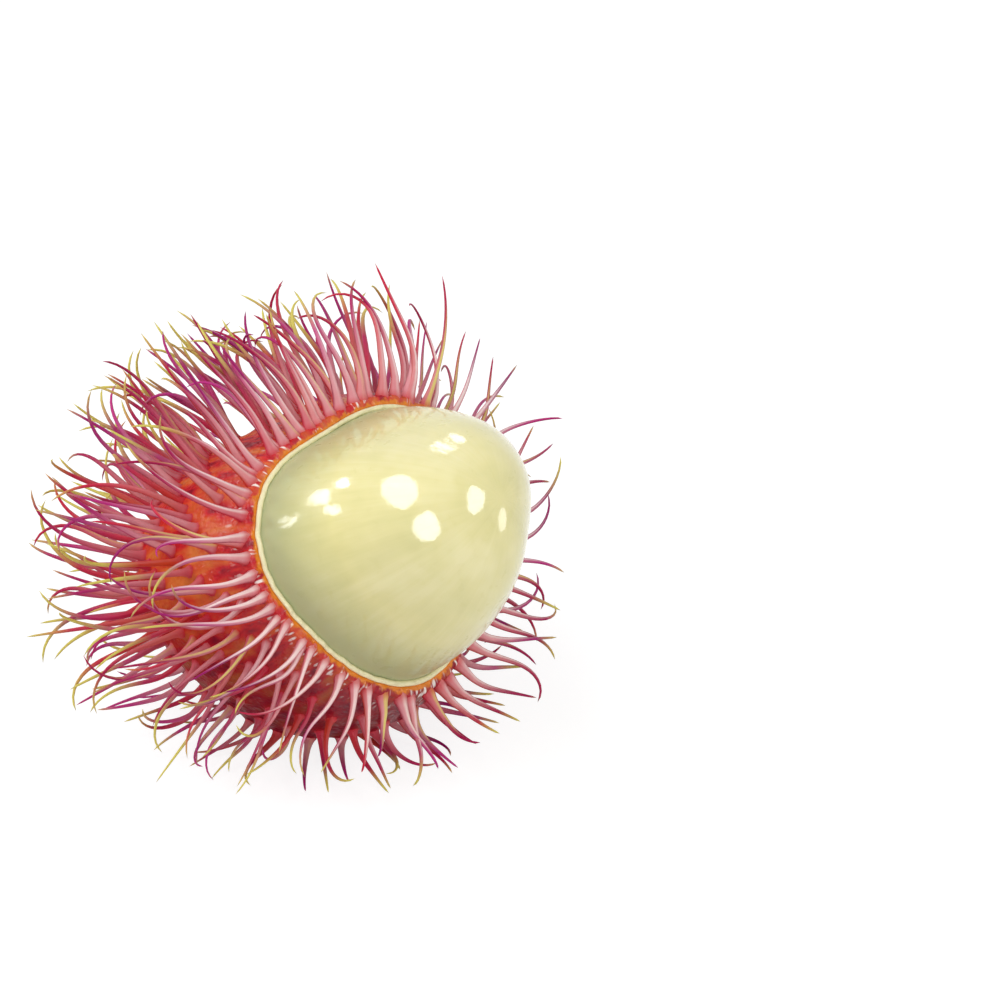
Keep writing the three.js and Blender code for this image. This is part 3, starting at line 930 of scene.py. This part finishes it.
def scar_piece(material):
    """The scar of the stalk: a low rough disc with a raised ring and a pit in the middle."""
    angle = np.linspace(0, 2 * math.pi, SCAR_AROUND, endpoint=False)[None, :]
    profile = np.array(SCAR_PROFILE)
    radius = profile[:, :1] * (1 + ripple(angle, SCAR_ROUGHNESS))
    along = profile[:, 1:] - PEEL_STEM_LENGTH
    grid = fruit_points(radius, np.broadcast_to(along, radius.shape), angle) + np.array(CENTRE)
    inside = on_axis(SCAR_PROFILE[0][1] - PEEL_STEM_LENGTH) + CENTRE
    pit = on_axis(SCAR_PIT - PEEL_STEM_LENGTH) + CENTRE
    points = np.vstack([grid.reshape(-1, 3), np.array([inside, pit])])
    faces = lathe_faces(len(profile), SCAR_AROUND)
    made = mesh_object("stem_scar", points, faces, material)
    return made


solid_places = solid_roots()
between_places = between_roots()
spine_look = spine_material()
peel_piece(solid_places + between_places, skin_material())
flesh_piece(flesh_material())
scar_piece(scar_material())
spine_piece("spines", solid_places, number_stream(SPINE_SEED), spine_look)
spine_piece("spines_between", between_places, number_stream(BETWEEN_SPINE_SEED), spine_look)

# ---------------------------------------------------------------- floor, lights and camera

CAMERA_AZIMUTH = math.radians(38.8)
CAMERA_ELEVATION = math.radians(30.5)
CAMERA_DISTANCE = 0.7
VIEW_WIDTH = 119 * MM  # how much shows across the picture, at the fruit
FRUIT_LEFT = 17.96 * MM  # the fruit stands left of the picture's middle, and below it
FRUIT_BELOW = 6.24 * MM
SENSOR = 36  # the camera's width of film, in millimetres
CAMERA_NEAREST = 0.01  # nothing nearer than this shows


def heading(azimuth, elevation):
    """The way from the fruit to a lamp or camera. Azimuth 0 is in front, along -Y, and 90 degrees is +X."""
    level = math.cos(elevation)
    return Vector((math.sin(azimuth) * level, -math.cos(azimuth) * level, math.sin(elevation)))


def add_camera():
    back = heading(CAMERA_AZIMUTH, CAMERA_ELEVATION)
    right = Vector((math.cos(CAMERA_AZIMUTH), math.sin(CAMERA_AZIMUTH), 0))
    up = back.cross(right)
    aim = CENTRE * MM + right * FRUIT_LEFT + up * FRUIT_BELOW
    data = bpy.data.cameras.new("camera")
    data.sensor_width = SENSOR
    data.lens = SENSOR * CAMERA_DISTANCE / VIEW_WIDTH
    data.clip_start = CAMERA_NEAREST
    made = bpy.data.objects.new("camera", data)
    made.location = aim + back * CAMERA_DISTANCE
    made.rotation_euler = back.to_track_quat("Z", "Y").to_euler()
    bpy.context.scene.collection.objects.link(made)
    bpy.context.scene.camera = made


LAMP_DISTANCE = 0.6


def add_lamp(name, azimuth, elevation, width, height, turn, brightness):
    """An oval lamp. Its brightness is how bright it looks where it is reflected, and white is 1."""
    data = bpy.data.lights.new(name, "AREA")
    data.shape = "ELLIPSE"
    data.size = width
    data.size_y = height
    data.energy = brightness * math.pi * math.pi * width * height / 4
    made = bpy.data.objects.new(name, data)
    way = heading(math.radians(azimuth), math.radians(elevation))
    made.location = CENTRE * MM + way * LAMP_DISTANCE
    turned = way.to_track_quat("Z", "Y") @ Quaternion((0, 0, 1), math.radians(turn))
    made.rotation_euler = turned.to_euler()
    bpy.context.scene.collection.objects.link(made)


def add_lamps():
    """Angles are in degrees, and widths and heights in metres, in the order that add_lamp takes them."""
    add_lamp("key", -18, 68, 0.64, 0.2, 145, 4)
    add_lamp("front", 42, 22, 0.38, 0.19, 99, 4.5)
    add_lamp("right", 106, 40, 0.48, 0.18, 42, 4)
    add_lamp("right low", 119, 7, 0.26, 0.14, 45, 2.5)
    add_lamp("left", -63, 37, 0.26, 0.07, 176, 9)
    add_lamp("left high", -80, 44, 0.21, 0.07, 18, 9)
    add_lamp("left near", -38, 33, 0.15, 0.07, 162, 8)
    add_lamp("far left", -50, 20, 0.14, 0.06, 157, 18)
    add_lamp("behind", -145, 36, 0.15, 0.05, 125, 4)


def background_share(tree):
    """1 for the rays that see the background as it is: from the camera, a reflection or a clear body."""
    rays = tree.nodes.new("ShaderNodeLightPath")
    seen = rays.outputs["Is Camera Ray"]
    for kind in ("Is Glossy Ray", "Is Transmission Ray"):
        either = tree.nodes.new("ShaderNodeMath")
        either.operation = "MAXIMUM"
        tree.links.new(seen, either.inputs[0])
        tree.links.new(rays.outputs[kind], either.inputs[1])
        seen = either.outputs[0]
    return seen


WORLD_LIGHT = 0.3  # of the white background as it lights the fruit, and 1 as it is seen


def add_world():
    world = bpy.data.worlds.new("studio")
    world.use_nodes = True
    tree = world.node_tree
    strength = tree.nodes.new("ShaderNodeMapRange")
    strength.inputs["To Min"].default_value = WORLD_LIGHT
    strength.inputs["To Max"].default_value = 1.0
    tree.links.new(background_share(tree), strength.inputs["Value"])
    tree.links.new(strength.outputs["Result"], tree.nodes["Background"].inputs["Strength"])
    tree.nodes["Background"].inputs["Color"].default_value = WHITE
    bpy.context.scene.world = world


FLOOR_SIZE = 4.0
FLOOR_PALE = 0.65  # as it lights the fruit
FLOOR_SEEN_PALE = 0.3  # as it is seen, with the glow that brings it up to white
FLOOR_SEEN_GLOW = 0.82


def add_floor():
    bpy.ops.mesh.primitive_plane_add(size=FLOOR_SIZE)
    floor = bpy.context.object
    floor.name = "floor"
    look = Surface("floor", Roughness=1.0, Specular_IOR_Level=0.0)
    seen = background_share(look.tree)
    shown = look.spread(seen, 0, 1, FLOOR_PALE, FLOOR_SEEN_PALE)
    colour = look.node("CombineColor", {"Red": shown, "Green": shown, "Blue": shown}).outputs["Color"]
    glow = look.spread(seen, 0, 1, 0.0, FLOOR_SEEN_GLOW)
    look.finish(Base_Color=colour, Emission_Strength=glow, Emission_Color=WHITE)
    floor.data.materials.append(look.material)


add_camera()
add_lamps()
add_world()
add_floor()
bpy.context.scene.view_settings.view_transform = "Standard"
